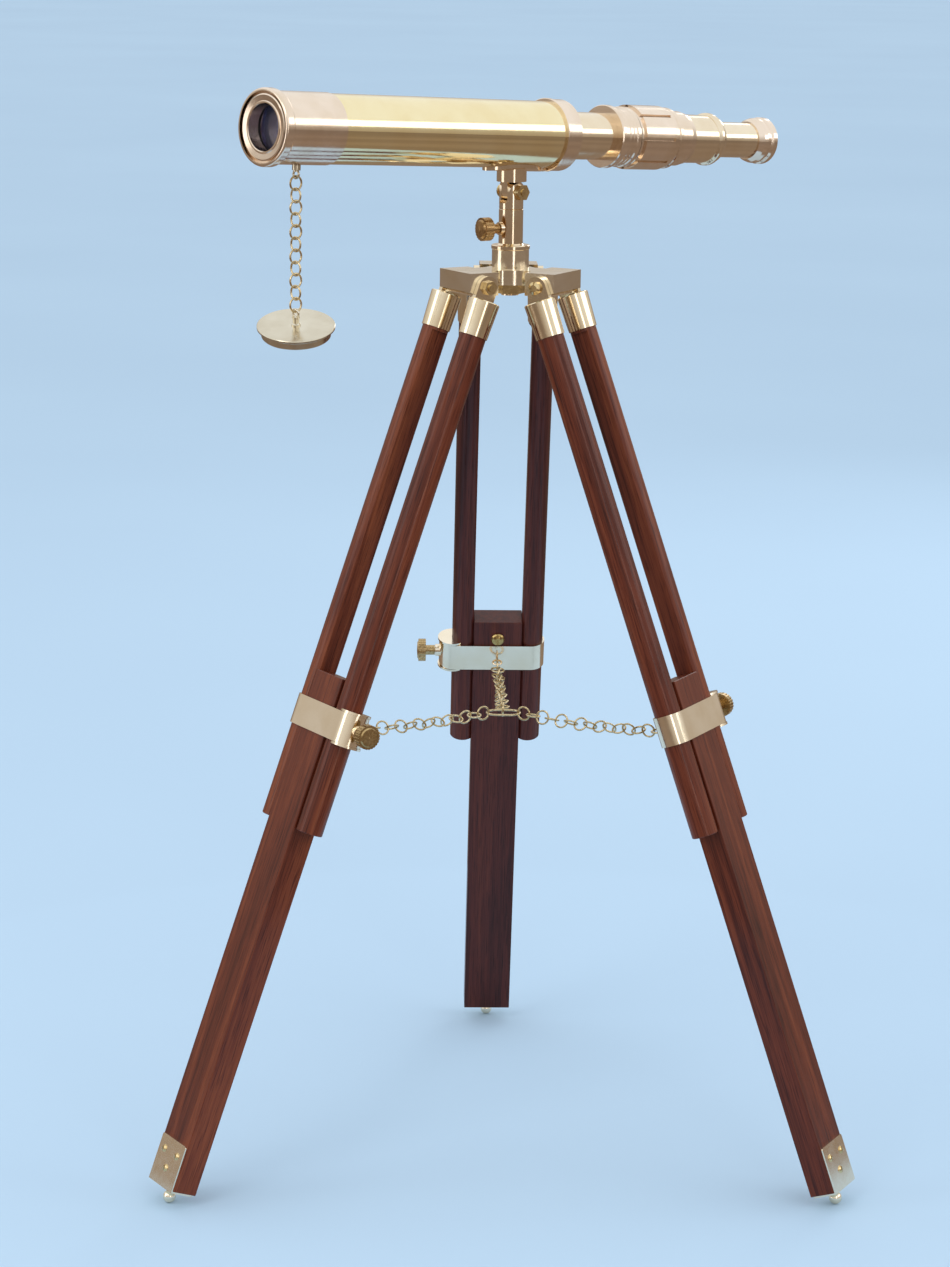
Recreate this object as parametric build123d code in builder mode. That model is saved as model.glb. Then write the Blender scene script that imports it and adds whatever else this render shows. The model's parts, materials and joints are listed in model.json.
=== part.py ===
from build123d import *
from math import cos, radians, sin
import os

# A brass telescope on a folding tripod with wooden legs, every piece where it stands in use.
# Millimetres, +Z up.  The origin is the middle of the floor box that the instrument covers,
# so the tripod's own axis stands a little away from it.

os.makedirs("parts", exist_ok=True)

# ---- Tripod: driving dimensions ----
axis_x, axis_y = 0.0, -54.862    # the tripod's axis
leg_angles = {"left": 210, "right": 330, "back": 90}
leg_tilt = 20.7                  # from the vertical, with the chains tight
pivot_radius = 32.5              # hinge bolts, from the tripod's axis

rod_radius = 9.2
rod_spacing = 49.4
rod_start, rod_end = 14.0, 391.0         # distances down the leg from its hinge bolt
slat_width, slat_depth = 36.0, 18.0
slat_start, slat_end = 284.0, 654.0
slat_play = 0.06                 # between the slat's edge and each rod's flat

ferrule_start, ferrule_end = 9.5, 34.5
ferrule_top_radius, ferrule_end_radius = 10.9, 10.0
ferrule_bore = rod_radius + 0.03
tongue_inside, tongue_thick = 20.3, 4.0
tongue_outside = tongue_inside + tongue_thick
tongue_radius = 7.6

band_start, band_height, band_thick = 304.0, 21.0, 1.2
band_inside = 9.35               # half of the band's inner depth
band_loop = 33.0                 # centre of its loop end, beyond the rod
lug_down, lug_radius, lug_wire = 14.5, 3.2, 0.75

ball_reach, ball_radius = 661.5, 4.5     # ball foot, down the leg from the hinge bolt
pivot_height = ball_reach * cos(radians(leg_tilt)) + ball_radius

bolt_radius = 2.5
bolt_hole = bolt_radius + 0.04
nut_size, nut_thick = 8.6, 3.6   # across flats

# ---- Hub, socket and tilting head: heights above the hinge bolts ----
hub_top = 9.5
block_bottom, block_width, block_out, block_in = -6.2, 40.2, 44.5, 22.0
arm_bottom, arm_width = -0.6, 22.0
boss_top, boss_radius = 22.6, 12.8
flange_top, flange_radius = 25.7, 13.3
socket_top, socket_radius, socket_bore = 50.4, 8.4, 5.5
post_radius = 8.3
tilt_height = 62.0
ear_top = 6.6                    # ear radius about the tilt bolt
head_bottom, head_top = 69.0, 75.6
knob_height = 37.0
knob_angle = 210                 # the socket's thumbscrew points the way the left leg does

# ---- Telescope: distances forward along its axis from the tilting head ----
scope_height = 101.2             # optical axis above the hinge bolts
scope_angle, scope_pitch = 221.3, 3.4
tube_radius, tube_wall = 23.0, 1.0
tube_front, tube_back = 205.0, -36.0
sleeve_radius, sleeve_front, sleeve_back = 23.6, 213.5, 168.0
ring_radius, ring_front, ring_round = 25.3, 221.0, 1.6
groove_inside, groove_outside, groove_depth = 21.5, 23.1, 5.8     # takes the cap's skirt
aperture_radius = 15.2
ring_back = 212.0
lens_radius, lens_front, lens_back = 20.2, 209.0, 200.0
lens_curve = 83.0                # radius of its front face
collar_radius, collar_front, collar_back = 25.2, -30.0, -45.0
draw_radius, draw_front, draw_back = 16.4, 40.0, -92.0
draw_end_front, draw_end_back = -86.5, -106.4
grip_front, grip_back = -106.7, -165.0
rib_front, rib_back = -109.6, -139.6
rear_radius, rear_front, rear_back = 17.2, -112.0, -197.0
eyepiece_radius, eyepiece_front, eyepiece_back = 12.7, -160.0, -240.0
cup_front, cup_back = -236.0, -253.0

# ---- Clamps and feet ----
stud_down = 298.6                # stop stud, just above the band
nut_face, knob_face = 46.4, 53.5 # clamp nut and thumbscrew head, sideways from the leg's middle
bracket_top, bracket_width, bracket_thick = 622.0, 34.0, 1.2
foot_screw_places = ((631.3, -9.3), (631.3, 9.3), (642.5, 0.0))
stud_bottom, stud_radius = -9.0, 6.0     # the socket's stud, below the hinge bolts
saddle_screw_places = (-15.0, 15.0)
leaf_thick = 2.2

# ---- Chains and lens cap ----
wire_radius = 0.65
link_pitch = 7.9
link_gap = 0.1                   # left between the wires of neighbouring links
link_radius = (link_pitch + 2 * wire_radius + link_gap) / 2
centre_link_x, centre_link_y = 11.8, 7.4
chain_sag = 3.0
centre_link_back, chain_drop = 0.8, 4.0      # the centre link's middle, behind the axis and below the lugs
anchor_reach = link_radius - lug_wire - wire_radius - link_gap   # anchor wire to the first link's middle
cap_eye_along = 191.0
cap_links = 11
cap_disc_radius, cap_skirt_radius = 25.8, 22.9
eye_drop = 8.6                   # crown of the eye's wire, under the sleeve
cap_post = 11.0                  # crown of the cap's ring above the cap
cap_lean = 18.0                  # the cap hangs with its top leaning to the front
cap_lean_angle = 267.7

UP = Vector(0, 0, 1)


# ---- Planes ----
def polar(angle, radius=1.0, height=0.0):
    """A point or direction at an angle about the vertical."""
    return Vector(radius * cos(radians(angle)), radius * sin(radians(angle)), height)


def on_axis(height, angle=0):
    """A level plane on the tripod's axis, at a height above the hinge bolts."""
    return Plane(origin=(axis_x, axis_y, pivot_height + height), x_dir=polar(angle), z_dir=UP)


def on_leg(leg, down=0.0, side=0.0, out=0.0):
    """A plane across a leg: x sideways, y outwards, z down the leg."""
    outwards, sideways = polar(leg_angles[leg]), polar(leg_angles[leg] + 90)
    along = outwards * sin(radians(leg_tilt)) - UP * cos(radians(leg_tilt))
    bolt = on_axis(0).origin + outwards * pivot_radius
    level = Plane(origin=bolt, x_dir=sideways, z_dir=along)
    return Plane(origin=level.from_local_coords((side, out, down)), x_dir=sideways, z_dir=along)


def sidelong(plane):
    """The plane through the same point that faces the given plane's x: x is its z, y is minus its y."""
    return Plane(origin=plane.origin, x_dir=plane.z_dir, z_dir=plane.x_dir)


def outward(plane):
    """The plane through the same point that faces the given plane's y: x stays, y is minus its z."""
    return Plane(origin=plane.origin, x_dir=plane.x_dir, z_dir=plane.y_dir)


def lengthwise(plane):
    """The plane through the same point that holds the given plane's x and its normal as y."""
    return Plane(origin=plane.origin, x_dir=plane.x_dir, z_dir=-plane.y_dir)


sight = polar(scope_angle, cos(radians(scope_pitch)), sin(radians(scope_pitch)))
across = UP.cross(sight).normalized()


def on_scope(along, up=0.0, side=0.0):
    """A plane across the telescope: x sideways, y up, z forward."""
    middle = on_axis(scope_height).origin
    level = Plane(origin=middle, x_dir=across, z_dir=sight)
    return Plane(origin=level.from_local_coords((side, up, along)), x_dir=across, z_dir=sight)


# ---- Shapes used by several pieces ----
def outline(plane, points):
    """The face inside straight lines from point to point."""
    with BuildSketch(plane) as drawing:
        with BuildLine():
            Polyline(*points, close=True)
        make_face()
    return drawing.sketch


def turn(plane, points, mode=Mode.ADD):
    """A turned shape about the plane's normal, from (radius, height) points."""
    revolve(outline(lengthwise(plane), points), axis=Axis(plane.origin, plane.z_dir), mode=mode)


def rod(plane, radius, start, end, mode=Mode.ADD):
    """A round bar along the plane's normal."""
    turn(plane, [(0, start), (radius, start), (radius, end), (0, end)], mode)


def tube(plane, radius, bore, start, end):
    """A round tube along the plane's normal."""
    turn(plane, [(bore, start), (radius, start), (radius, end), (bore, end)])


def box(plane, width, depth, start, end, mode=Mode.ADD):
    """A square-edged bar along the plane's normal."""
    with BuildSketch(plane.offset(start)) as section:
        Rectangle(width, depth)
    extrude(section.sketch, amount=end - start, mode=mode)


def nut(plane, size, start, end, bore):
    """A hexagonal nut along the plane's normal."""
    with BuildSketch(plane.offset(start)) as section:
        RegularPolygon(size / 2, 6, major_radius=False)
        Circle(bore, mode=Mode.SUBTRACT)
    extrude(section.sketch, amount=end - start)


def knurled(plane, radius, start, end, grooves):
    """A thumbscrew's head: a disc with shallow grooves round its rim."""
    with BuildSketch(plane.offset(start)) as section:
        Circle(radius)
        with PolarLocations(radius + 0.15, grooves):
            Circle(0.55, mode=Mode.SUBTRACT)
    extrude(section.sketch, amount=end - start)


def ring(plane, radius, wire):
    """A round wire ring in the plane."""
    with Locations(Location(plane)):
        Torus(radius, wire)


def save(piece, name):
    """Label a finished piece and write its file."""
    piece.part.label = name
    export_step(piece.part, f"parts/{name}.step")


# ---- Telescope ----
tube_line = on_scope(0)

with BuildPart() as objective_ring:
    # A rounded rim, the groove for the cap's skirt, and a face with a bead round the aperture
    turn(tube_line, [
        (aperture_radius, ring_front - 0.9), (aperture_radius + 0.5, ring_front - 0.4),
        (aperture_radius + 1.3, ring_front - 0.4), (aperture_radius + 1.9, ring_front - 1.0),
        (groove_inside - 0.9, ring_front - 0.5), (groove_inside, ring_front - 0.9),
        (groove_inside, ring_front - groove_depth), (groove_outside, ring_front - groove_depth),
        (groove_outside, ring_front), (ring_radius, ring_front), (ring_radius, sleeve_front),
        (20.9, sleeve_front), (20.9, ring_back), (aperture_radius, ring_back),
    ])
    rim_edges = objective_ring.edges().filter_by(GeomType.CIRCLE)
    fillet(rim_edges.filter_by(lambda edge: abs(edge.radius - ring_radius) < 0.01), ring_round)
save(objective_ring, "objective_ring")

with BuildPart() as objective_sleeve:
    turn(tube_line, [
        (21.0, sleeve_front), (sleeve_radius, sleeve_front), (sleeve_radius, sleeve_back + 0.5),
        (sleeve_radius - 0.5, sleeve_back), (tube_radius + 0.02, sleeve_back),
        (tube_radius + 0.02, tube_front), (21.0, tube_front),
    ])
save(objective_sleeve, "objective_sleeve")

with BuildPart() as main_tube:
    tube(tube_line, tube_radius, tube_radius - tube_wall, tube_back, tube_front - 0.02)
    # The two holes by which the tilting head is screwed to the tube
    for along in saddle_screw_places:
        rod(outward(on_scope(along)), 1.6, -tube_radius - 1, -tube_radius + tube_wall + 1, Mode.SUBTRACT)
save(main_tube, "main_tube")

with BuildPart() as objective_lens:
    rod(tube_line, lens_radius, lens_back, lens_front)
    with Locations(Location(on_scope(lens_front - lens_curve))):
        Sphere(lens_curve, mode=Mode.INTERSECT)
save(objective_lens, "objective_lens")

with BuildPart() as lens_cell:
    turn(tube_line, [
        (17.5, lens_back - 3), (21.9, lens_back - 3), (21.9, tube_front - 0.1),
        (20.25, tube_front - 0.1), (20.25, lens_back - 0.05), (17.5, lens_back - 0.05),
    ])
save(lens_cell, "lens_cell")

with BuildPart() as lens_retaining_ring:
    tube(tube_line, 20.9, 16.0, lens_front + 0.3, ring_back - 0.1)
save(lens_retaining_ring, "lens_retaining_ring")

with BuildPart() as rear_collar:
    turn(tube_line, [
        (tube_radius + 0.02, collar_front), (collar_radius - 0.5, collar_front),
        (collar_radius, collar_front - 0.5), (collar_radius, collar_front - 2.5),
        (collar_radius - 0.6, collar_front - 3.0), (collar_radius - 0.6, collar_back + 1.5),
        (collar_radius - 2.1, collar_back), (draw_radius + 0.05, collar_back),
        (draw_radius + 0.05, collar_front + 6), (tube_radius - tube_wall - 0.02, collar_front + 6),
        (tube_radius - tube_wall - 0.02, tube_back - 0.05), (tube_radius + 0.02, tube_back - 0.05),
    ])
save(rear_collar, "rear_collar")

with BuildPart() as draw_tube:
    tube(tube_line, draw_radius, draw_radius - 0.9, draw_back, draw_front)
save(draw_tube, "draw_tube")

with BuildPart() as erector_cell:
    turn(tube_line, [
        (9.0, -58), (draw_radius - 0.95, -58), (draw_radius - 0.95, -24), (9.0, -24), (9.0, -26),
        (12.05, -26), (12.05, -31), (10.5, -31), (10.5, -51), (12.05, -51), (12.05, -56), (9.0, -56),
    ])
save(erector_cell, "erector_cell")

with BuildPart() as erector_lenses:
    for start in (-55.9, -30.9):
        turn(tube_line, [(0, start + 0.6), (12, start + 1.2), (12, start + 3.8), (0, start + 4.6)])
save(erector_lenses, "erector_lenses")

with BuildPart() as draw_collar:
    # A flared front lip, a waist and a ringed shoulder that the focusing barrel turns against
    turn(tube_line, [
        (draw_radius + 0.02, draw_end_front), (21.4, draw_end_front), (22.0, draw_end_front - 0.8),
        (22.0, -90.5), (20.6, -92.0), (20.6, -94.6), (20.1, -95.1), (20.6, -95.6), (20.6, -98.2),
        (20.1, -98.7), (20.6, -99.2), (20.6, -101.4), (21.2, -102.4), (21.2, -105.4),
        (20.4, draw_end_back), (17.25, draw_end_back), (17.25, draw_back - 0.5),
        (draw_radius + 0.02, draw_back - 0.5),
    ])
save(draw_collar, "draw_collar")

with BuildPart() as focusing_barrel:
    turn(tube_line, [
        (rear_radius + 0.05, grip_front), (20.4, grip_front), (21.0, grip_front - 0.6),
        (21.0, rib_front), (20.7, rib_front), (20.7, rib_back), (21.6, rib_back), (21.6, -143.6),
        (20.9, -144.2), (20.9, -144.8), (21.6, -145.4), (21.6, -148.2), (20.6, -149.2), (19.4, -149.2),
        (19.4, -160.0), (19.0, -160.5), (18.4, grip_back + 0.6), (17.9, grip_back),
        (rear_radius + 0.05, grip_back),
    ])
    # Eight raised finger ribs with slots between them
    with BuildSketch(on_scope(rib_back)):
        Circle(22.6)
        Circle(20.5, mode=Mode.SUBTRACT)
        with PolarLocations(22.0, 8):
            Rectangle(4.2, 2.4, mode=Mode.SUBTRACT)
    extrude(amount=rib_front - rib_back)
save(focusing_barrel, "focusing_barrel")

with BuildPart() as rear_tube:
    turn(tube_line, [
        (rear_radius - 1.0, rear_front), (rear_radius, rear_front), (rear_radius, -189.5),
        (18.4, -190.5), (18.8, -191.5), (18.8, -193.5), (18.0, -194.5), (17.2, rear_back),
        (eyepiece_radius + 0.05, rear_back), (eyepiece_radius + 0.05, rear_back + 12),
        (rear_radius - 1.0, rear_back + 12),
    ])
save(rear_tube, "rear_tube")

with BuildPart() as eyepiece_tube:
    tube(tube_line, eyepiece_radius, eyepiece_radius - 1.0, eyepiece_back, eyepiece_front)
save(eyepiece_tube, "eyepiece_tube")

with BuildPart() as eyepiece_lenses:
    turn(tube_line, [(0, -168.2), (11.6, -169.6), (11.6, -171.0), (0, -171.6)])
    turn(tube_line, [(0, -226.0), (9.0, -227.4), (9.0, -229.0), (0, -229.4)])
save(eyepiece_lenses, "eyepiece_lenses")

with BuildPart() as eyepiece_stops:
    # The rings that hold the field lens and the eye lens in the eyepiece tube
    for start, hold in ((-173.0, 11.65), (-231.5, 9.05)):
        turn(tube_line, [
            (hold - 1.6, start), (eyepiece_radius - 1.05, start), (eyepiece_radius - 1.05, start + 5.2),
            (hold, start + 5.2), (hold, start + 0.8), (hold - 1.6, start + 0.8),
        ])
save(eyepiece_stops, "eyepiece_stops")

with BuildPart() as eyepiece_cup:
    turn(tube_line, [
        (eyepiece_radius + 0.02, cup_front), (13.6, cup_front), (15.6, cup_front - 4.0),
        (16.3, cup_front - 7.0), (16.3, cup_front - 9.0), (15.6, cup_front - 10.0),
        (15.6, cup_front - 11.0), (16.9, cup_front - 12.5), (16.9, cup_back + 0.8),
        (16.1, cup_back), (12.0, cup_back), (6.0, cup_back + 6.0), (6.0, cup_back + 8.0),
        (11.5, cup_back + 8.0), (11.5, eyepiece_back - 0.05), (eyepiece_radius + 0.02, eyepiece_back - 0.05),
    ])
save(eyepiece_cup, "eyepiece_cup")

# ---- Tilting head, forked post and socket ----
head_level = on_axis(0, scope_angle)
tilt_line = Plane(origin=on_axis(tilt_height).origin, x_dir=polar(scope_angle), z_dir=across)
tongue_half = 3.0

with BuildPart() as tilting_head:
    # A thin saddle leaf shaped to the tube, a round block and the tongue that the bolt passes through
    with BuildSketch(head_level.offset(head_top - 2)):
        Ellipse(25.5, 11.5)
    extrude(amount=12)
    rod(tube_line, tube_radius + leaf_thick, -60, 60, Mode.INTERSECT)
    rod(head_level, 10.3, head_bottom, head_top + 4)
    box(head_level, 2 * ear_top, 2 * tongue_half - 0.1, tilt_height, head_bottom + 1)
    with BuildSketch(tilt_line.offset(0.05 - tongue_half)):
        Circle(ear_top)
    extrude(amount=2 * tongue_half - 0.1)
    rod(tube_line, tube_radius + 0.02, -60, 60, Mode.SUBTRACT)
    rod(tilt_line, bolt_hole, -12, 12, Mode.SUBTRACT)
    for along in saddle_screw_places:
        rod(outward(on_scope(along)), 1.55, -tube_radius - 5, -tube_radius + 1, Mode.SUBTRACT)
save(tilting_head, "tilting_head")

with BuildPart() as saddle_screws:
    for along in saddle_screw_places:
        place = outward(on_scope(along))
        rod(place, 1.5, -tube_radius - leaf_thick + 0.1, -tube_radius + tube_wall + 0.6)
        rod(place, 2.8, -tube_radius + tube_wall + 0.25, -tube_radius + tube_wall + 1.6)
save(saddle_screws, "saddle_screws")

with BuildPart() as forked_post:
    rod(head_level, post_radius, socket_top + 0.05, tilt_height + ear_top)
    with BuildSketch(tilt_line.offset(-post_radius - 1)):
        Circle(ear_top)
        with Locations((0, 3)):
            Rectangle(2 * ear_top, 6)
        with Locations((0, 12)):
            Rectangle(2 * post_radius + 2, 12)
    extrude(amount=2 * post_radius + 2, mode=Mode.INTERSECT)
    box(head_level, 30, 2 * tongue_half, tilt_height - ear_top - 1.0, tilt_height + 12, Mode.SUBTRACT)
    rod(tilt_line, bolt_hole, -12, 12, Mode.SUBTRACT)
    # The spigot that turns in the socket, with the groove that the thumbscrew tightens into
    turn(head_level, [
        (0, 28.5), (socket_bore - 0.55, 28.5), (socket_bore - 0.05, 29.0),
        (socket_bore - 0.05, knob_height - 3), (4.4, knob_height - 2.6), (4.4, knob_height + 2.6),
        (socket_bore - 0.05, knob_height + 3), (socket_bore - 0.05, socket_top + 0.3),
        (0, socket_top + 0.3),
    ])
save(forked_post, "forked_post")

with BuildPart() as tilt_bolt:
    # The bolt through fork and tongue, with its nut
    rod(tilt_line, bolt_radius, -post_radius - 0.3, post_radius + 4.8)
    turn(tilt_line, [
        (0, -post_radius - 3.2), (2.6, -post_radius - 3.2), (4.6, -post_radius - 1.8),
        (4.6, -post_radius - 0.05), (0, -post_radius - 0.05),
    ])
    nut(tilt_line, 10.0, post_radius + 0.05, post_radius + 4.0, bolt_radius + 0.03)
save(tilt_bolt, "tilt_bolt")

knob_line = sidelong(on_axis(knob_height, knob_angle))

with BuildPart() as post_socket:
    # Stud through the hub, flange, and tube with a pad for the thumbscrew
    turn(on_axis(0), [
        (0, stud_bottom), (stud_radius, stud_bottom), (stud_radius, boss_top),
        (flange_radius - 0.5, boss_top), (flange_radius, boss_top + 0.5),
        (flange_radius, flange_top - 0.5), (flange_radius - 0.5, flange_top),
        (socket_radius + 1.0, flange_top), (socket_radius, flange_top + 1.0),
        (socket_radius, socket_top - 0.4), (socket_radius - 0.4, socket_top),
        (socket_bore, socket_top), (socket_bore, 28.0), (0, 28.0),
    ])
    rod(knob_line, 4.4, socket_bore + 1.0, socket_radius + 1.6)
    rod(knob_line, 2.05, socket_bore - 1, socket_radius + 3, Mode.SUBTRACT)
save(post_socket, "post_socket")

with BuildPart() as post_thumbscrew:
    # Its tip stands clear of the spigot until it is tightened into the groove
    rod(knob_line, 2.0, socket_bore + 0.25, 12)
    rod(knob_line, 3.3, socket_radius + 1.9, 17.6)
    knurled(knob_line, 8.0, 17.5, 24.0, 22)
    turn(knob_line, [(0, 24.0), (6.6, 24.0), (5.6, 25.2), (0, 25.8)])
save(post_thumbscrew, "post_thumbscrew")

# ---- Hub ----
with BuildPart() as hub:
    rod(on_axis(0), 17.0, arm_bottom, hub_top)
    for angle in leg_angles.values():
        with BuildSketch(on_axis(arm_bottom, angle)):
            with Locations(((block_in + 1) / 2, 0)):
                Rectangle(block_in + 1, arm_width)
        extrude(amount=hub_top - arm_bottom)
    corners = hub.edges().filter_by(Axis.Z).sort_by_distance(on_axis(0).origin)[:6]
    fillet(corners, radius=9.0)
    for angle in leg_angles.values():
        # An end block between the two tongues of each leg, its lower outer edge rounded
        face_line = sidelong(on_axis(0, angle + 90)).offset(-block_width / 2)
        with BuildSketch(face_line):
            with BuildLine():
                Polyline(
                    (hub_top, block_in), (hub_top, block_out), (block_bottom + 3, block_out),
                )
                RadiusArc((block_bottom + 3, block_out), (block_bottom, block_out - 3), 3)
                Polyline((block_bottom, block_out - 3), (block_bottom, block_in), (hub_top, block_in))
            make_face()
        extrude(amount=block_width)
    rod(on_axis(0), boss_radius, arm_bottom, boss_top)
    rod(on_axis(0), stud_radius + 0.05, block_bottom - 1, boss_top + 1, Mode.SUBTRACT)
    for leg in leg_angles:
        rod(sidelong(on_leg(leg)), bolt_hole, -block_width, block_width, Mode.SUBTRACT)
save(hub, "hub")

with BuildPart() as hub_nut:
    nut(on_axis(0), 19.0, stud_bottom + 1.5, arm_bottom - 0.05, stud_radius + 0.03)
save(hub_nut, "hub_nut")

with BuildPart() as hinge_bolts:
    # Three bolts, each with its nut
    for leg in leg_angles:
        line = sidelong(on_leg(leg))
        rod(line, bolt_radius, -tongue_outside - 0.3, tongue_outside + nut_thick + 1.6)
        turn(line, [
            (0, -tongue_outside - 3.4), (2.4, -tongue_outside - 3.4), (4.4, -tongue_outside - 2.0),
            (4.4, -tongue_outside - 0.1), (0, -tongue_outside - 0.1),
        ])
        start = tongue_outside + 0.1
        nut(line, nut_size, start, start + nut_thick, bolt_radius + 0.03)
save(hinge_bolts, "hinge_bolts")


# ---- Legs ----
def make_ferrules(leg):
    """Two brass cups on the tops of the rods, each with a tongue that swings on the hinge bolt."""
    with BuildPart() as ferrules:
        for hand in (-1, 1):
            turn(on_leg(leg, 0, hand * rod_spacing / 2), [
                (0, ferrule_start), (ferrule_top_radius - 0.6, ferrule_start),
                (ferrule_top_radius, ferrule_start + 0.6), (ferrule_end_radius, ferrule_end),
                (ferrule_bore, ferrule_end), (ferrule_bore, rod_start - 0.1), (0, rod_start - 0.1),
            ])
            middle = hand * (tongue_inside + tongue_thick / 2)
            with BuildSketch(sidelong(on_leg(leg, 0, middle)).offset(-tongue_thick / 2)):
                Circle(tongue_radius)
                with Locations((5.5, 0)):
                    Rectangle(11, 2 * tongue_radius)
                Circle(bolt_hole, mode=Mode.SUBTRACT)
            extrude(amount=tongue_thick)
    save(ferrules, f"ferrules_{leg}")


def make_rods(leg):
    """Two round rods, each with a flat down its inner side for the slat's edge to slide on."""
    with BuildPart() as rods:
        for hand in (-1, 1):
            rod(on_leg(leg, 0, hand * rod_spacing / 2), rod_radius, rod_start, rod_end)
        down_leg = Axis(on_leg(leg).origin, on_leg(leg).z_dir)
        chamfer(rods.edges().filter_by(GeomType.CIRCLE).sort_by(down_leg)[-2:], length=0.5)
        flats = slat_width + 2 * slat_play
        box(on_leg(leg), flats, 3 * rod_radius, ferrule_end + 2, rod_end + 1, Mode.SUBTRACT)
    save(rods, f"rods_{leg}")


def make_slat(leg):
    """The sliding lower part of a leg."""
    with BuildPart() as slat:
        box(on_leg(leg), slat_width, slat_depth, slat_start, slat_end)
        chamfer(slat.edges(), length=0.4)
        rod(outward(on_leg(leg, stud_down)), 1.55, -slat_depth, -slat_depth / 2 + 6, Mode.SUBTRACT)
        for down, side in foot_screw_places:
            rod(outward(on_leg(leg, down, side)), 1.25, 3.5, slat_depth, Mode.SUBTRACT)
        rod(on_leg(leg), 1.55, slat_end - 9, slat_end + 1, Mode.SUBTRACT)
    save(slat, f"slat_{leg}")


def make_stop_stud(leg):
    """The round-headed stud that stops the slat at the band, as the leg is drawn out."""
    line = outward(on_leg(leg, stud_down))
    face = -slat_depth / 2 - 0.05
    with BuildPart() as stud:
        rod(line, 1.5, face - 0.3, face + 5.5)
        turn(line, [
            (0, face - 3.0), (2.4, face - 2.8), (4.2, face - 1.9), (5.0, face - 0.7), (5.0, face), (0, face),
        ])
    save(stud, f"stop_stud_{leg}")


def make_clamp_band(leg):
    """The brass strap round both rods and the slat, with its loop end, nut and chain lug."""
    loop_length = band_loop + rod_spacing / 2
    middle = (band_loop - rod_spacing / 2) / 2
    screw_line = sidelong(on_leg(leg, band_start + band_height / 2))
    with BuildPart() as band:
        with BuildSketch(on_leg(leg, band_start)):
            with Locations((middle, 0)):
                SlotCenterToCenter(loop_length, 2 * (band_inside + band_thick))
                SlotCenterToCenter(loop_length, 2 * band_inside, mode=Mode.SUBTRACT)
        extrude(amount=band_height)
        rod(screw_line, 4.5, band_loop + 9.6, nut_face)
        rod(screw_line, 2.05, band_loop + 5, nut_face + 1, Mode.SUBTRACT)
        # A wire lug for the chain, brazed to the inner side
        lug = on_leg(leg, band_start + lug_down, 0, -band_inside - band_thick)
        ring(lug, lug_radius, lug_wire)
        inner_space = on_leg(leg)
        box(inner_space, slat_width, 2 * band_inside, band_start, band_start + band_height, Mode.SUBTRACT)
    save(band, f"clamp_band_{leg}")


def make_clamp_shoe(leg):
    """The shoe between the outer rod and the thumbscrew, with a lip over each edge of the band."""
    screw_line = sidelong(on_leg(leg, band_start + band_height / 2))
    with BuildPart() as shoe:
        with BuildSketch(on_leg(leg, band_start - 1.8)):
            with Locations((band_loop, 0)):
                Circle(band_inside - 0.25)
            with Locations((rod_spacing / 2, 0)):
                Circle(rod_radius + 0.15, mode=Mode.SUBTRACT)
        extrude(amount=band_height + 3.6)
        for start in (band_start - 1.8, band_start + band_height + 0.2):
            with BuildSketch(on_leg(leg, start)):
                with Locations((band_loop + 0.7, 0)):
                    Circle(10.7)
                with Locations((rod_spacing / 2, 0)):
                    Circle(rod_radius + 0.15, mode=Mode.SUBTRACT)
                with Locations((15.0, 0)):
                    Rectangle(24.0, 24.0, mode=Mode.SUBTRACT)
            extrude(amount=1.6)
        rod(screw_line, 2.1, band_loop + 4.5, band_loop + 12, Mode.SUBTRACT)
    save(shoe, f"clamp_shoe_{leg}")


def make_clamp_thumbscrew(leg):
    """The knurled screw that draws the strap tight round rods and slat."""
    screw_line = sidelong(on_leg(leg, band_start + band_height / 2))
    with BuildPart() as screw:
        rod(screw_line, 2.0, band_loop + 4.7, nut_face + 1.0)
        rod(screw_line, 3.7, nut_face + 0.3, knob_face + 0.1)
        knurled(screw_line, 8.4, knob_face, knob_face + 5.5, 24)
        turn(screw_line, [
            (0, knob_face + 5.5), (6.8, knob_face + 5.5), (6.0, knob_face + 6.3), (0, knob_face + 6.6),
        ])
    save(screw, f"clamp_thumbscrew_{leg}")


def make_foot_bracket(leg):
    """The brass angle on the foot, with one plate up the outer face and one under the end."""
    face = slat_depth / 2 + 0.05
    with BuildPart() as bracket:
        with BuildSketch(outward(on_leg(leg, (bracket_top + slat_end) / 2 + 0.6)).offset(face)):
            RectangleRounded(bracket_width, slat_end - bracket_top + 1.3, 1.5)
        extrude(amount=bracket_thick)
        with BuildSketch(on_leg(leg, slat_end + 0.05)):
            with Locations((0, (face + bracket_thick - 7.0) / 2)):
                Rectangle(bracket_width, face + bracket_thick + 7.0)
        extrude(amount=bracket_thick)
        for down, side in foot_screw_places:
            rod(outward(on_leg(leg, down, side)), 1.25, face - 1, face + 3, Mode.SUBTRACT)
        # The ball it stands on, brazed to the plate by a pin that reaches up into the slat
        rod(on_leg(leg), 1.5, slat_end - 8, ball_reach)
        rod(on_leg(leg), 2.6, slat_end + bracket_thick, slat_end + bracket_thick + 1.4)
        with Locations(Location(on_leg(leg, ball_reach))):
            Sphere(ball_radius)
    save(bracket, f"foot_bracket_{leg}")


def make_foot_screws(leg):
    """Three slotted round-head screws through the foot bracket."""
    face = slat_depth / 2 + 0.05 + bracket_thick
    with BuildPart() as screws:
        for down, side in foot_screw_places:
            line = outward(on_leg(leg, down, side))
            rod(line, 1.2, 4.0, face + 0.4)
            turn(line, [(0, face), (2.7, face), (2.4, face + 0.7), (1.5, face + 1.2), (0, face + 1.4)])
            box(line, 0.6, 6.0, face + 0.7, face + 2, Mode.SUBTRACT)
    save(screws, f"foot_screws_{leg}")


for leg in leg_angles:
    make_ferrules(leg)
    make_rods(leg)
    make_slat(leg)
    make_stop_stud(leg)
    make_clamp_band(leg)
    make_clamp_shoe(leg)
    make_clamp_thumbscrew(leg)
    make_foot_bracket(leg)
    make_foot_screws(leg)


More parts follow.
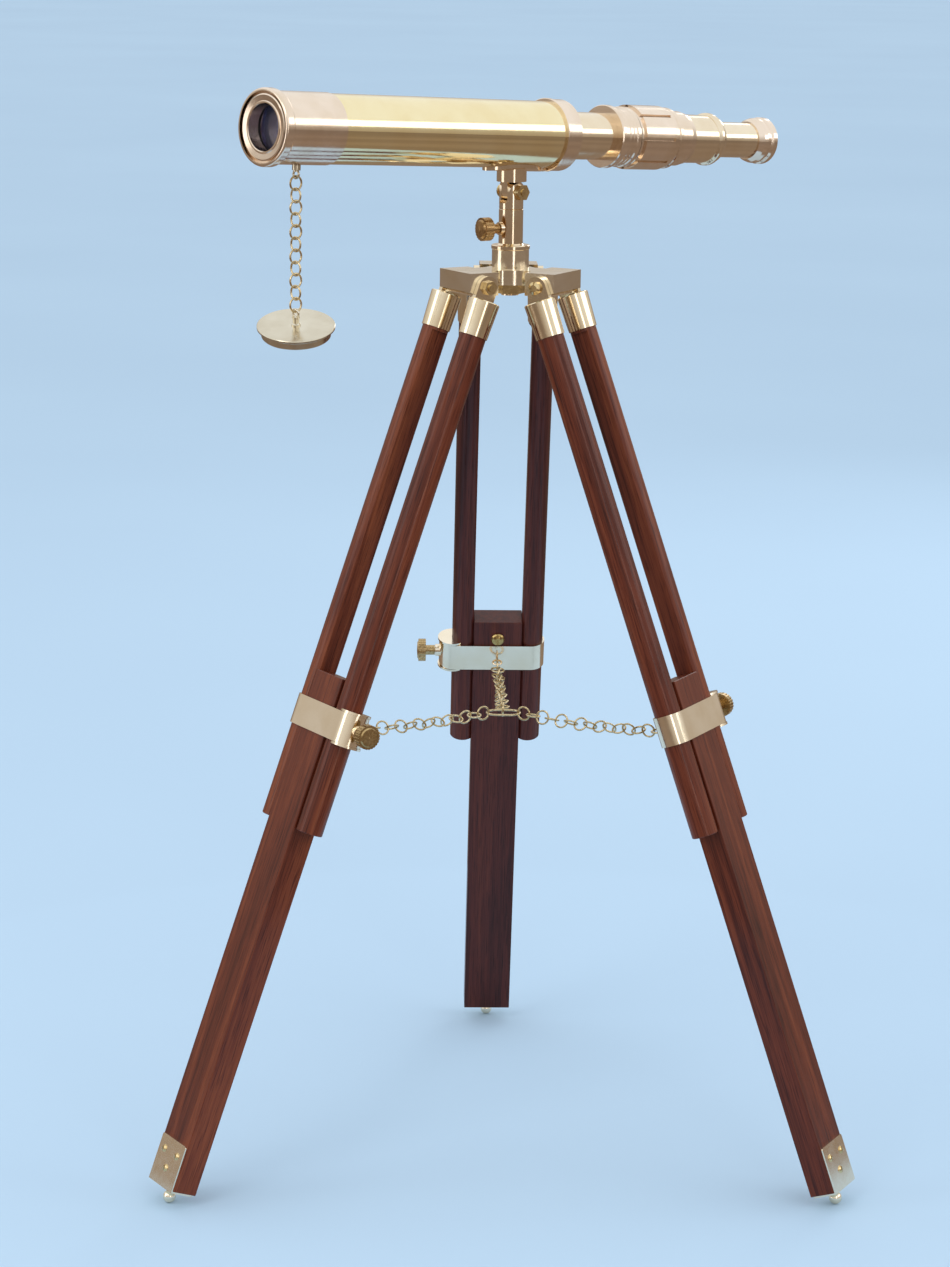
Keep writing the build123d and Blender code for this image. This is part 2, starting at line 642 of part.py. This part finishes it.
# ---- Chains ----
def add_links(start, end, count, sag, level):
    """Wire links from one anchor to another, hanging in a shallow curve, each turned from the last."""
    span = end - start
    quarter_turn = 180 * ((count - 1) // 2) / (count - 1)
    whole = 2 * anchor_reach + (count - 1) * link_pitch
    for number in range(count):
        part_way = (anchor_reach + number * link_pitch) / whole
        middle = start + span * part_way - UP * (4 * sag * part_way * (1 - part_way))
        slope = (span - UP * (4 * sag * (1 - 2 * part_way))).normalized()
        turned = radians(number * quarter_turn)
        facing = level * cos(turned) + slope.cross(level) * sin(turned)
        ring(Plane(origin=middle, x_dir=slope, z_dir=facing), link_radius, wire_radius)


def lug_crown(leg):
    """The middle of the wire at the top of a band's chain lug."""
    return on_leg(leg, band_start + lug_down, 0, -band_inside - band_thick - lug_radius).origin


centre_link_middle = Vector(axis_x, axis_y + centre_link_back, lug_crown("back").Z - chain_drop)

with BuildPart() as centre_link:
    # A long oval wire link that gathers the three chains
    straight = centre_link_x - centre_link_y
    left_end = centre_link_middle - Vector(straight, 0, 0)
    right_end = centre_link_middle + Vector(straight, 0, 0)
    side = Vector(0, centre_link_y, 0)
    with BuildLine() as track:
        Line(left_end - side, right_end - side)
        ThreePointArc(right_end - side, centre_link_middle + Vector(centre_link_x, 0, 0), right_end + side)
        Line(right_end + side, left_end + side)
        ThreePointArc(left_end + side, centre_link_middle - Vector(centre_link_x, 0, 0), left_end - side)
    with BuildSketch(Plane(origin=left_end - side, x_dir=(0, 1, 0), z_dir=(1, 0, 0))):
        Circle(lug_wire)
    sweep(path=track.wires()[0])
save(centre_link, "centre_link")

for leg, reach_x, reach_y, count in (
    ("left", -centre_link_x, 0, 16), ("right", centre_link_x, 0, 16), ("back", 0, centre_link_y, 16),
):
    with BuildPart() as spreader_chain:
        add_links(
            lug_crown(leg), centre_link_middle + Vector(reach_x, reach_y, 0), count, chain_sag,
            polar(leg_angles[leg] + 90),
        )
    save(spreader_chain, f"spreader_chain_{leg}")

# ---- Lens cap on its chain ----
eye_line = outward(on_scope(cap_eye_along))
eye_crown = eye_line.origin - eye_line.z_dir * (sleeve_radius + eye_drop)

with BuildPart() as cap_eye:
    rod(eye_line, 2.8, -sleeve_radius - 3.4, -sleeve_radius - 0.02)
    rod(eye_line, 1.8, -sleeve_radius - 4.4, -sleeve_radius - 3.0)
    with Locations(Location(Plane(
        origin=eye_crown + eye_line.z_dir * 2.6, x_dir=across, z_dir=sight,
    ))):
        Torus(2.6, lug_wire)
save(cap_eye, "cap_eye")

cap_chain_length = 2 * anchor_reach + (cap_links - 1) * link_pitch
cap_crown = eye_crown - UP * cap_chain_length

with BuildPart() as cap_chain:
    add_links(eye_crown, cap_crown, cap_links, 0, across)
save(cap_chain, "cap_chain")

cap_up = polar(cap_lean_angle, sin(radians(cap_lean)), cos(radians(cap_lean)))
cap_side = UP.cross(cap_up).normalized()
cap_top = Plane(origin=cap_crown - cap_up * cap_post, x_dir=cap_side, z_dir=cap_up)

with BuildPart() as lens_cap:
    # A flat disc with a slightly raised rim bead, and a skirt that plugs into the objective ring
    turn(cap_top, [
        (0, -1.6), (cap_skirt_radius - 1.1, -1.6), (cap_skirt_radius - 1.1, -7.4),
        (cap_skirt_radius - 0.4, -7.4), (cap_skirt_radius, -7.0), (cap_skirt_radius, -1.8),
        (cap_disc_radius - 0.4, -1.8), (cap_disc_radius, -1.4), (cap_disc_radius, -0.4),
        (cap_disc_radius - 0.4, 0), (0, 0),
    ])
    # The post brazed to its middle, with the ring that the last link hangs in
    turn(cap_top, [
        (0, 0), (3.0, 0), (3.0, 1.0), (2.1, 1.6), (2.1, 4.6), (2.6, 5.2), (2.6, 6.4), (0, 6.4),
    ])
    with Locations(Location(Plane(
        origin=cap_crown - cap_up * 2.6, x_dir=cap_up, z_dir=cap_up.cross(across),
    ))):
        Torus(2.6, lug_wire)
save(lens_cap, "lens_cap")
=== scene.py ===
import json
import math

import bpy
from mathutils import Matrix, Vector

# A brass telescope on a folding wooden tripod: finishes, light and camera around the CAD pieces.
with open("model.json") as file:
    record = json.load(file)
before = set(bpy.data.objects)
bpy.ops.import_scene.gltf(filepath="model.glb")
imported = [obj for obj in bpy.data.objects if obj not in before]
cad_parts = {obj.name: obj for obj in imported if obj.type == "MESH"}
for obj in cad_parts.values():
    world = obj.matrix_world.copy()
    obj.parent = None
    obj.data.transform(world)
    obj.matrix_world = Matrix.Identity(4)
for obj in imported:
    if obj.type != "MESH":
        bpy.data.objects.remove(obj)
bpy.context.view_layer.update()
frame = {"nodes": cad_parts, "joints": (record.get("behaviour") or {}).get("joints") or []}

scene = bpy.context.scene
joints = {joint["name"]: joint for joint in frame["joints"]}
SIDES = ("left", "right", "back")
SIGHT = Vector(joints["focus_turn"]["axis"])
UP = Vector((0, 0, 1))
SMOOTH_BELOW = math.radians(32)    # edges that turn more than this stay sharp


# ---- Camera ----
EYE = (-0.0899, -2.3724, 0.8929)
HEADING, PITCH, ROLL = 1.705, -12.613, 0.772
FOCAL_LENGTH, SENSOR_WIDTH = 127.4, 36.0    # millimetres


def aim(heading, pitch, roll):
    """A camera's rotation from its heading, from +Y towards +X, its pitch and its roll, in degrees."""
    heading, pitch, roll = (math.radians(angle) for angle in (heading, pitch, roll))
    level = math.cos(pitch)
    ahead = Vector((math.sin(heading) * level, math.cos(heading) * level, math.sin(pitch)))
    right = Vector((math.cos(heading), -math.sin(heading), 0))
    up = right.cross(ahead)
    turned_right = math.cos(roll) * right + math.sin(roll) * up
    turned_up = math.cos(roll) * up - math.sin(roll) * right
    return Matrix((turned_right, turned_up, -ahead)).transposed().to_4x4()


camera_data = bpy.data.cameras.new("camera")
camera_data.sensor_fit = "HORIZONTAL"
camera_data.sensor_width = SENSOR_WIDTH
camera_data.lens = FOCAL_LENGTH
camera_data.clip_end = 200    # metres, past the far end of the floor
camera = bpy.data.objects.new("camera", camera_data)
scene.collection.objects.link(camera)
camera.matrix_world = Matrix.Translation(EYE) @ aim(HEADING, PITCH, ROLL)
scene.camera = camera
scene.view_settings.view_transform = "Standard"


# ---- Materials ----
class Nodes:
    """A node tree being built."""

    def __init__(self, tree):
        self.tree = tree

    def node(self, kind, **settings):
        """A new node with its settings."""
        made = self.tree.nodes.new(kind)
        for key, value in settings.items():
            setattr(made, key, value)
        return made

    def feed(self, socket, value):
        """Link a socket to another, or set it to a plain value."""
        if isinstance(value, bpy.types.NodeSocket):
            self.tree.links.new(value, socket)
        else:
            socket.default_value = value

    def ramp(self, value, *stops):
        """A colour from a value, by (position, colour) stops."""
        made = self.node("ShaderNodeValToRGB")
        self.feed(made.inputs["Fac"], value)
        elements = made.color_ramp.elements
        while len(elements) < len(stops):
            elements.new(0.5)
        for element, (position, colour) in zip(elements, stops):
            element.position = position
            element.color = (*colour, 1)
        return made.outputs["Color"]

    def mix(self, factor, first, second, blend="MIX"):
        """The first colour turning into the second, a plain colour, as the factor goes to 1."""
        made = self.node("ShaderNodeMix", data_type="RGBA", blend_type=blend)
        self.feed(made.inputs["Factor"], factor)
        self.feed(made.inputs["A"], first)
        made.inputs["B"].default_value = (*second, 1)
        return made.outputs["Result"]


class Finish(Nodes):
    """A material being built around its Principled shader."""

    SOCKETS = {
        "color": "Base Color", "coat": "Coat Weight", "coat_roughness": "Coat Roughness",
        "coat_tint": "Coat Tint", "ior": "IOR", "shine": "Specular IOR Level",
        "transmission": "Transmission Weight",
    }

    def __init__(self, name):
        self.material = bpy.data.materials.new(name)
        self.material.use_nodes = True
        super().__init__(self.material.node_tree)
        self.shader = self.tree.nodes["Principled BSDF"]
        self.point = self.node("ShaderNodeTexCoord").outputs["Object"]

    def calculate(self, operation, *values):
        """A value worked out from others by one operation."""
        made = self.node("ShaderNodeMath", operation=operation)
        for socket, value in zip(made.inputs, values):
            self.feed(socket, value)
        return made.outputs[0]

    def along(self, direction):
        """How far the point lies along a direction, in metres."""
        made = self.node("ShaderNodeVectorMath", operation="DOT_PRODUCT")
        self.feed(made.inputs[0], self.point)
        made.inputs[1].default_value = direction
        return made.outputs["Value"]

    def vector(self, *parts):
        """A vector from its three parts."""
        made = self.node("ShaderNodeCombineXYZ")
        for socket, value in zip(made.inputs, parts):
            self.feed(socket, value)
        return made.outputs[0]

    def noise(self, scale, vector=None, detail=3.0, roughness=0.5, distortion=0.0):
        """Noise of about so many lumps a metre, at the point or at another vector."""
        made = self.node("ShaderNodeTexNoise")
        self.feed(made.inputs["Vector"], self.point if vector is None else vector)
        made.inputs["Scale"].default_value = scale
        made.inputs["Detail"].default_value = detail
        made.inputs["Roughness"].default_value = roughness
        made.inputs["Distortion"].default_value = distortion
        return made.outputs["Fac"]

    def levels(self, value, low, high, at=(0.0, 1.0)):
        """Value moved from the range at to the range from low to high."""
        made = self.node("ShaderNodeMapRange")
        self.feed(made.inputs["Value"], value)
        made.inputs["From Min"].default_value, made.inputs["From Max"].default_value = at
        made.inputs["To Min"].default_value, made.inputs["To Max"].default_value = low, high
        return made.outputs["Result"]

    def bump(self, height, distance, strength=1.0, under=None):
        """A normal from a height, in metres, on top of the normal under it."""
        made = self.node("ShaderNodeBump")
        self.feed(made.inputs["Height"], height)
        made.inputs["Distance"].default_value = distance
        made.inputs["Strength"].default_value = strength
        if under is not None:
            self.feed(made.inputs["Normal"], under)
        return made.outputs["Normal"]

    def set(self, **sockets):
        """Feed the shader's sockets, named here in short."""
        for key, value in sockets.items():
            self.feed(self.shader.inputs[self.SOCKETS.get(key, key.capitalize())], value)


# Lumps a metre in brass: tint clouds, gloss smears, tarnish spots and hair scratches
CLOUDS, SMEARS, SPOTS, SCRATCHES = 38, 210, 620, 2600
# and in its surface: cast ripple and lathe rings
RIPPLE, RINGS = 85, 2300.0
SCRATCH_DEPTH, RIPPLE_DEPTH, RING_DEPTH = 0.00002, 0.0006, 0.00003    # metres
RING_STRENGTH = 0.55


def brass(name, light, deep, rough, scratch=0.3, turned=None, cast=0.0, tarnish=0.0):
    """Brass in two close tints, with uneven gloss and hair scratches.

    It has lathe rings along the axis turned, a cast ripple and brown tarnish where they are given.
    """
    f = Finish(name)
    clouds = f.noise(CLOUDS, detail=4)
    smears = f.noise(SMEARS, detail=5, roughness=0.6)
    colour = f.ramp(clouds, (0.36, deep), (0.64, light))
    if tarnish:
        spots = f.noise(SPOTS, detail=6, roughness=0.7)
        brown = (deep[0] * 0.42, deep[1] * 0.33, deep[2] * 0.28)
        colour = f.mix(f.levels(spots, 0.0, tarnish, at=(0.42, 0.68)), colour, brown)
    normal = f.bump(f.noise(SCRATCHES, detail=2), SCRATCH_DEPTH, scratch)
    if cast:
        normal = f.bump(f.noise(RIPPLE, detail=2), RIPPLE_DEPTH, cast, normal)
    if turned is not None:
        ring_place = f.vector(f.calculate("MULTIPLY", f.along(turned), RINGS), 0.0, 0.0)
        rings = f.noise(1.0, ring_place, detail=2, roughness=0.7)
        normal = f.bump(rings, RING_DEPTH, RING_STRENGTH, normal)
    gloss = f.levels(smears, rough * 0.75, rough * 1.3, at=(0.3, 0.7))
    f.set(color=colour, metallic=1.0, roughness=gloss, normal=normal)
    return f.material


def leg_axes(side):
    """A leg's directions: sideways, outwards and down the leg."""
    sideways = Vector(joints[f"fold_{side}"]["axis"])
    down = -Vector(joints[f"extend_{side}"]["axis"])
    return sideways, down.cross(sideways), down


# Lumps a metre in wood, across and along the leg
FIGURE, STREAKS, PORES = (46, 3.2), (360, 7.0), (1500, 46.0)
PORE_DEPTH, STREAK_DEPTH = 0.00012, 0.0003    # metres


def mahogany(name, side, seed, deep, middle, light):
    """Lacquered reddish wood: broad figure, streaks along the leg and fine pores under a satin coat."""
    f = Finish(name)
    across, out, down = (f.along(axis) for axis in leg_axes(side))

    def grain(crosswise, lengthwise):
        """The point squeezed along the leg, so that noise there draws long streaks."""
        return f.vector(
            f.calculate("MULTIPLY_ADD", across, crosswise, seed),
            f.calculate("MULTIPLY", out, crosswise),
            f.calculate("MULTIPLY", down, lengthwise),
        )

    figure = f.noise(1.0, grain(*FIGURE), detail=5, roughness=0.55, distortion=0.9)
    streaks = f.noise(1.0, grain(*STREAKS), detail=4, roughness=0.65, distortion=0.3)
    pores = f.noise(1.0, grain(*PORES), detail=2, roughness=0.5)
    broad = f.calculate("MULTIPLY", figure, 0.6)
    fine = f.calculate("MULTIPLY", streaks, 0.4)
    blend = f.calculate("ADD", broad, fine)
    colour = f.ramp(blend, (0.36, deep), (0.5, middle), (0.66, light))
    open_pores = f.levels(pores, 0.75, 0.0, at=(0.34, 0.47))
    colour = f.mix(open_pores, colour, (0.35, 0.25, 0.22), "MULTIPLY")
    normal = f.bump(pores, PORE_DEPTH, 0.35)
    normal = f.bump(streaks, STREAK_DEPTH, 0.25, normal)
    f.set(color=colour, roughness=f.levels(streaks, 0.34, 0.5, at=(0.3, 0.7)), normal=normal)
    f.set(coat=0.25, coat_roughness=0.12, shine=0.16)
    return f.material


def dull_black(name):
    """The matt black paint inside the tubes."""
    f = Finish(name)
    specks = f.noise(900, detail=4)
    f.set(color=f.ramp(specks, (0.35, (0.012, 0.011, 0.012)), (0.7, (0.03, 0.027, 0.027))))
    f.set(roughness=0.7, normal=f.bump(specks, 0.00004, 0.5))
    return f.material


def coated_glass(name):
    """A lens: clear, a little violet, with dust that dulls it in places."""
    f = Finish(name)
    dust = f.noise(160, detail=5)
    f.set(color=f.ramp(dust, (0.3, (0.80, 0.78, 0.88)), (0.7, (0.90, 0.90, 0.94))))
    f.set(roughness=f.levels(dust, 0.01, 0.07, at=(0.45, 0.75)), ior=1.52, transmission=0.9)
    f.set(coat=0.6, coat_tint=(0.75, 0.68, 0.95, 1))
    return f.material


def matt(name, scale, dark, pale):
    """Plain paper or cloth in two close tones."""
    f = Finish(name)
    f.set(color=f.ramp(f.noise(scale), (0.3, dark), (0.7, pale)), roughness=0.9, shine=0.1)
    return f.material


def paint(material, *nodes):
    """Give CAD nodes a material in place of their own."""
    for name in nodes:
        data = frame["nodes"][name].data
        data.materials.clear()
        data.materials.append(material)


def on_each_leg(name):
    """The three legs' nodes of one kind."""
    return [f"{name}_{side}" for side in SIDES]


# The telescope
paint(brass("brass_tube", (0.91, 0.79, 0.50), (0.88, 0.74, 0.44), 0.10, 0.2), "main_tube")
paint(
    brass("brass_turned", (0.87, 0.73, 0.60), (0.80, 0.65, 0.50), 0.15, turned=SIGHT),
    "objective_ring", "objective_sleeve", "rear_collar", "draw_collar", "focusing_barrel", "eyepiece_cup",
)
paint(
    brass("brass_draws", (0.88, 0.76, 0.58), (0.82, 0.68, 0.49), 0.11, 0.2, turned=SIGHT),
    "draw_tube", "rear_tube", "eyepiece_tube",
)
paint(brass("brass_cap", (0.72, 0.66, 0.53), (0.62, 0.55, 0.42), 0.2, 0.4), "lens_cap", "cap_eye")
paint(dull_black("black_paint"), "lens_cell", "lens_retaining_ring", "erector_cell", "eyepiece_stops")
paint(coated_glass("glass_coated"), "objective_lens", "erector_lenses", "eyepiece_lenses")

# The head and the hub
paint(
    brass("brass_post", (0.92, 0.78, 0.58), (0.85, 0.68, 0.48), 0.12, turned=UP),
    "forked_post", "post_socket", "tilting_head",
)
paint(brass("brass_cast", (0.95, 0.86, 0.70), (0.90, 0.78, 0.58), 0.15, 0.4, cast=0.35), "hub")
paint(
    brass("brass_screws", (0.80, 0.64, 0.36), (0.62, 0.46, 0.22), 0.2, 0.4, tarnish=0.35),
    "tilt_bolt", "hub_nut", "hinge_bolts", "saddle_screws", *on_each_leg("foot_screws"),
)
paint(
    brass("brass_knob", (0.58, 0.38, 0.18), (0.42, 0.25, 0.10), 0.3, 0.6, tarnish=0.6),
    "post_thumbscrew",
)

# The legs and their chains
RED = ((0.055, 0.009, 0.004), (0.135, 0.026, 0.010), (0.24, 0.058, 0.020))
# The back leg's wood is a darker copy of the red: painted shade, as if that leg stood in shadow
RED_IN_PAINTED_SHADE = ((0.034, 0.006, 0.005), (0.075, 0.014, 0.010), (0.13, 0.028, 0.015))
for number, (side, tones) in enumerate(zip(SIDES, (RED, RED, RED_IN_PAINTED_SHADE))):
    ferrule_brass = brass(
        f"brass_ferrule_{side}", (0.90, 0.77, 0.56), (0.82, 0.67, 0.45), 0.12, turned=leg_axes(side)[2]
    )
    paint(ferrule_brass, f"ferrules_{side}")
    paint(mahogany(f"mahogany_slat_{side}", side, 3.7 * number, *tones), f"slat_{side}")
    paint(mahogany(f"mahogany_rods_{side}", side, 11.0 + 2.3 * number, *tones), f"rods_{side}")
paint(
    brass("brass_band", (0.94, 0.83, 0.66), (0.87, 0.74, 0.55), 0.14, 0.4),
    *on_each_leg("clamp_band"), *on_each_leg("clamp_shoe"), *on_each_leg("foot_bracket"),
)
paint(
    brass("brass_clamp_knob", (0.62, 0.46, 0.24), (0.44, 0.30, 0.13), 0.27, 0.5, tarnish=0.6),
    *on_each_leg("clamp_thumbscrew"),
)
paint(
    brass("brass_studs", (0.60, 0.44, 0.18), (0.46, 0.31, 0.11), 0.25, 0.4, tarnish=0.5),
    *on_each_leg("stop_stud"),
)
paint(
    brass("brass_chain", (0.78, 0.66, 0.42), (0.60, 0.47, 0.26), 0.2, 0.4, tarnish=0.4),
    "cap_chain", "centre_link", *on_each_leg("spreader_chain"),
)

# Round faces look round, and edges stay sharp
for piece in frame["nodes"].values():
    piece.data.shade_smooth()
    piece.data.set_sharp_from_angle(angle=SMOOTH_BELOW)


# ---- Floor, light and surroundings ----
def stage(name, points, faces, material):
    """A flat piece of the studio."""
    mesh = bpy.data.meshes.new(name)
    mesh.from_pydata(points, [], faces)
    mesh.materials.append(material)
    made = bpy.data.objects.new(name, mesh)
    scene.collection.objects.link(made)
    return made


REACH = 60.0    # how far the floor runs, so that it fills the view to the top
paper = matt("floor_paper", 0.8, (0.48, 0.645, 0.82), (0.50, 0.67, 0.845))
corners = [(x * REACH, y * REACH, 0) for x, y in ((-1, -1), (1, -1), (1, 1), (-1, 1))]
stage("floor", corners, [(0, 1, 2, 3)], paper)

# A dark room around the paper, seen only in reflections
ROOM_START, ROOM_STEPS = 0.62, 48
ROOM_LEVEL = 0.004    # just above the paper
turns = [math.tau * step / ROOM_STEPS for step in range(ROOM_STEPS)]
around = [(r * math.cos(t), r * math.sin(t), ROOM_LEVEL) for r in (ROOM_START, REACH) for t in turns]
cells = [
    (n, (n + 1) % ROOM_STEPS, ROOM_STEPS + (n + 1) % ROOM_STEPS, ROOM_STEPS + n)
    for n in range(ROOM_STEPS)
]
cloth = matt("dark_cloth", 1.5, (0.20, 0.145, 0.11), (0.28, 0.21, 0.16))
room = stage("dark_room", around, cells, cloth)
room.visible_camera = False
room.visible_diffuse = False
room.visible_transmission = False
room.visible_volume_scatter = False
room.visible_shadow = False

# A dim warm horizon under a bright ceiling; the camera sees the paper's colour there instead
HORIZON, CEILING, PAPER_COLOUR = (0.42, 0.36, 0.30), (0.95, 0.98, 1.0), (0.48, 0.62, 0.78)
SKY_STRENGTH = 1.04
world = bpy.data.worlds.new("studio")
scene.world = world
world.use_nodes = True
sky = Nodes(world.node_tree)
background = sky.tree.nodes["Background"]
height = sky.node("ShaderNodeSeparateXYZ")
sky.feed(height.inputs[0], sky.node("ShaderNodeTexCoord").outputs["Generated"])
surroundings = sky.ramp(height.outputs["Z"], (0.02, HORIZON), (0.45, CEILING))
seen = sky.node("ShaderNodeLightPath").outputs["Is Camera Ray"]
sky.feed(background.inputs["Color"], sky.mix(seen, surroundings, PAPER_COLOUR))
background.inputs["Strength"].default_value = SKY_STRENGTH


def softbox(name, place, target, width, height, power, colour=(1, 1, 1)):
    """A large soft light that the camera can't see, in metres and watts."""
    data = bpy.data.lights.new(name, "AREA")
    data.shape = "RECTANGLE"
    data.size, data.size_y = width, height
    data.energy = power
    data.color = colour
    light = bpy.data.objects.new(name, data)
    scene.collection.objects.link(light)
    aimed = (Vector(target) - Vector(place)).to_track_quat("-Z", "Y")
    light.matrix_world = Matrix.Translation(place) @ aimed.to_matrix().to_4x4()
    light.visible_camera = False


softbox("key", (-1.6, -2.0, 2.3), (0, 0, 0.6), 1.0, 1.0, 7, (1.0, 0.98, 0.95))
softbox("left", (-2.3, -0.7, 0.95), (0, 0, 0.6), 0.9, 1.8, 7)
softbox("right", (2.9, -0.5, 1.55), (0, 0, 0.7), 2.2, 0.75, 9)
softbox("front", (0.9, -2.6, 0.9), (0, 0, 0.5), 0.45, 1.5, 4)
softbox("rim", (1.2, 2.3, 1.4), (0, 0, 0.5), 0.8, 1.2, 6)
